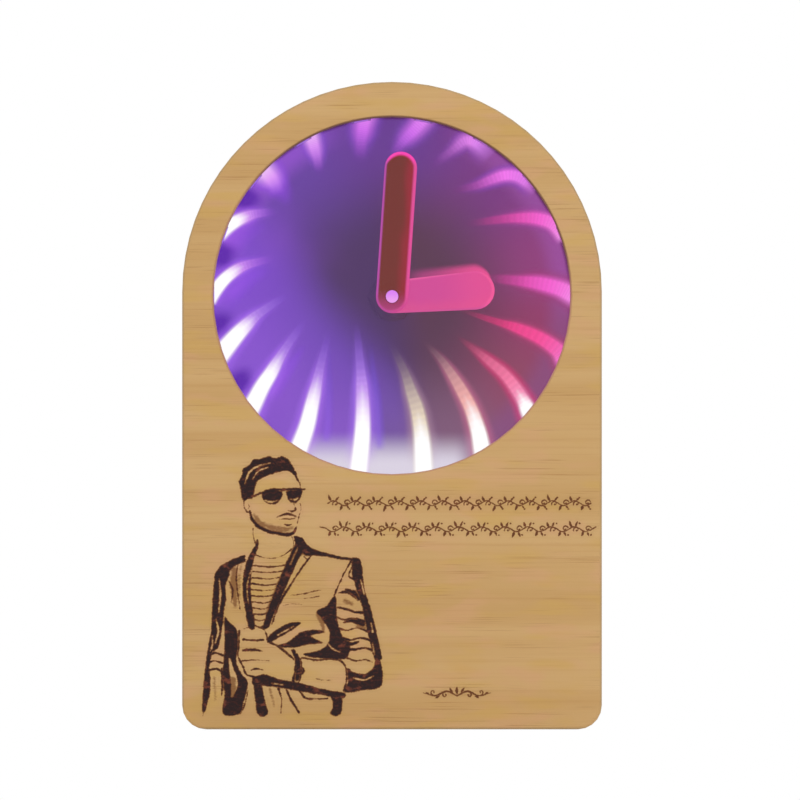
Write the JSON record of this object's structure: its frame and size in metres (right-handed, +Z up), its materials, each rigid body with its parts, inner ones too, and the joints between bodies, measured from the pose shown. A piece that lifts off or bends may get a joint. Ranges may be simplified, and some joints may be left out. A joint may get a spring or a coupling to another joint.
{
  "type": "table clock",
  "caption": "Arch-topped bamboo table clock with a round LED mirror tunnel, two acrylic hands, a quartz movement with a battery door and a light button at the back.",
  "frame": {"origin": "middle of the footprint, on the flat bottom face", "axes": "+Z up, -Y is the front with the dial, +X to the right seen from the front"},
  "size_m": [0.105, 0.042, 0.162],
  "materials": {
    "bamboo": "satin, sanded bamboo ply with fine level grain",
    "half_mirror": "polished acrylic with a half-mirror film",
    "mirror": "polished mirror",
    "black_plastic": "fine moulded texture",
    "white_plastic": "moulded",
    "led_strip": "white flexible circuit with lit LEDs",
    "red_acrylic": "polished translucent acrylic, edge lit",
    "gear_plastic": "natural acetal",
    "brass": "turned",
    "steel": "bright",
    "copper": "enamelled wire winding",
    "circuit_green": "solder mask",
    "rubber": "matt",
    "cell_wrap": "plain printed sleeve",
    "lead_red": "insulated wire",
    "lead_black": "insulated wire"
  },
  "bodies": {
    "body": {"front_panel": "bamboo", "housing_frame": "bamboo", "front_lens": "half_mirror", "spacer_ring": "black_plastic", "led_strip": "led_strip", "rear_mirror": "mirror", "movement_board": "black_plastic", "movement_case": "black_plastic", "movement_lid": "black_plastic", "bush_washer": "rubber", "bush_nut": "brass", "stator": "steel", "coil": "copper", "movement_circuit": "circuit_green", "battery_cell": "cell_wrap", "battery_contact_plus": "steel", "battery_contact_minus": "steel", "back_cover": "black_plastic", "cover_screw_1": "steel", "cover_screw_2": "steel", "cover_screw_3": "steel", "cover_screw_4": "steel", "cover_screw_5": "steel", "cover_screw_6": "steel", "light_board": "circuit_green", "board_screw_1": "steel", "board_screw_2": "steel", "board_screw_3": "steel", "board_screw_4": "steel", "light_switch": "black_plastic", "power_socket": "steel", "strip_lead_red": "lead_red", "strip_lead_black": "lead_black"},
    "minute": {"minute_hand": "red_acrylic", "minute_arbor": "gear_plastic"},
    "hour": {"hour_hand": "red_acrylic", "hour_wheel": "gear_plastic"},
    "motion": {"motion_wheel": "gear_plastic"},
    "setting": {"setting_knob": "black_plastic"},
    "rotor": {"rotor": "steel"},
    "fourth": {"fourth_wheel": "gear_plastic"},
    "third": {"third_wheel": "gear_plastic"},
    "centre": {"centre_wheel": "brass"},
    "button": {"light_button": "white_plastic", "switch_plunger": "white_plastic"},
    "door": {"battery_door": "black_plastic"}
  },
  "joints": [
    {"name": "minute_spin", "type": "hinge", "parent": "body", "child": "minute", "pos_m": [0, 0, 0.10855], "axis": [0, 1, 0], "continuous": true},
    {"name": "hour_spin", "type": "hinge", "parent": "body", "child": "hour", "pos_m": [0, 0, 0.10855], "axis": [0, 1, 0], "continuous": true},
    {"name": "motion_spin", "type": "hinge", "parent": "body", "child": "motion", "pos_m": [0.00831, 0, 0.11335], "axis": [0, 1, 0], "continuous": true},
    {"name": "setting_turn", "type": "hinge", "parent": "body", "child": "setting", "pos_m": [0, 0, 0.11815], "axis": [0, 1, 0], "continuous": true},
    {"name": "rotor_spin", "type": "hinge", "parent": "body", "child": "rotor", "pos_m": [-0.01608, 0, 0.12244], "axis": [0, 1, 0], "continuous": true},
    {"name": "fourth_spin", "type": "hinge", "parent": "body", "child": "fourth", "pos_m": [-0.01043, 0, 0.11918], "axis": [0, 1, 0], "continuous": true},
    {"name": "third_spin", "type": "hinge", "parent": "body", "child": "third", "pos_m": [-0.00831, 0, 0.11335], "axis": [0, 1, 0], "continuous": true},
    {"name": "centre_spin", "type": "hinge", "parent": "body", "child": "centre", "pos_m": [0, 0, 0.10855], "axis": [0, 1, 0], "continuous": true},
    {"name": "light_press", "type": "slide", "parent": "body", "child": "button", "axis": [0, -1, 0], "range_m": [0, 0.0005], "stiffness_N_per_m": 1000, "springref_m": -0.0005},
    {"name": "door_swing", "type": "hinge", "parent": "body", "child": "door", "pos_m": [0, 0.02, 0.0824], "axis": [-1, 0, 0], "range_deg": [0, 95]}
  ],
  "couplings": [
    {"joint": "hour_spin", "follows": "minute_spin", "ratio": 0.083333},
    {"joint": "motion_spin", "follows": "minute_spin", "ratio": -0.33333},
    {"joint": "setting_turn", "follows": "minute_spin", "ratio": 1},
    {"joint": "fourth_spin", "follows": "rotor_spin", "ratio": -0.2},
    {"joint": "third_spin", "follows": "rotor_spin", "ratio": 0.05},
    {"joint": "centre_spin", "follows": "rotor_spin", "ratio": -0.016667}
  ]
}
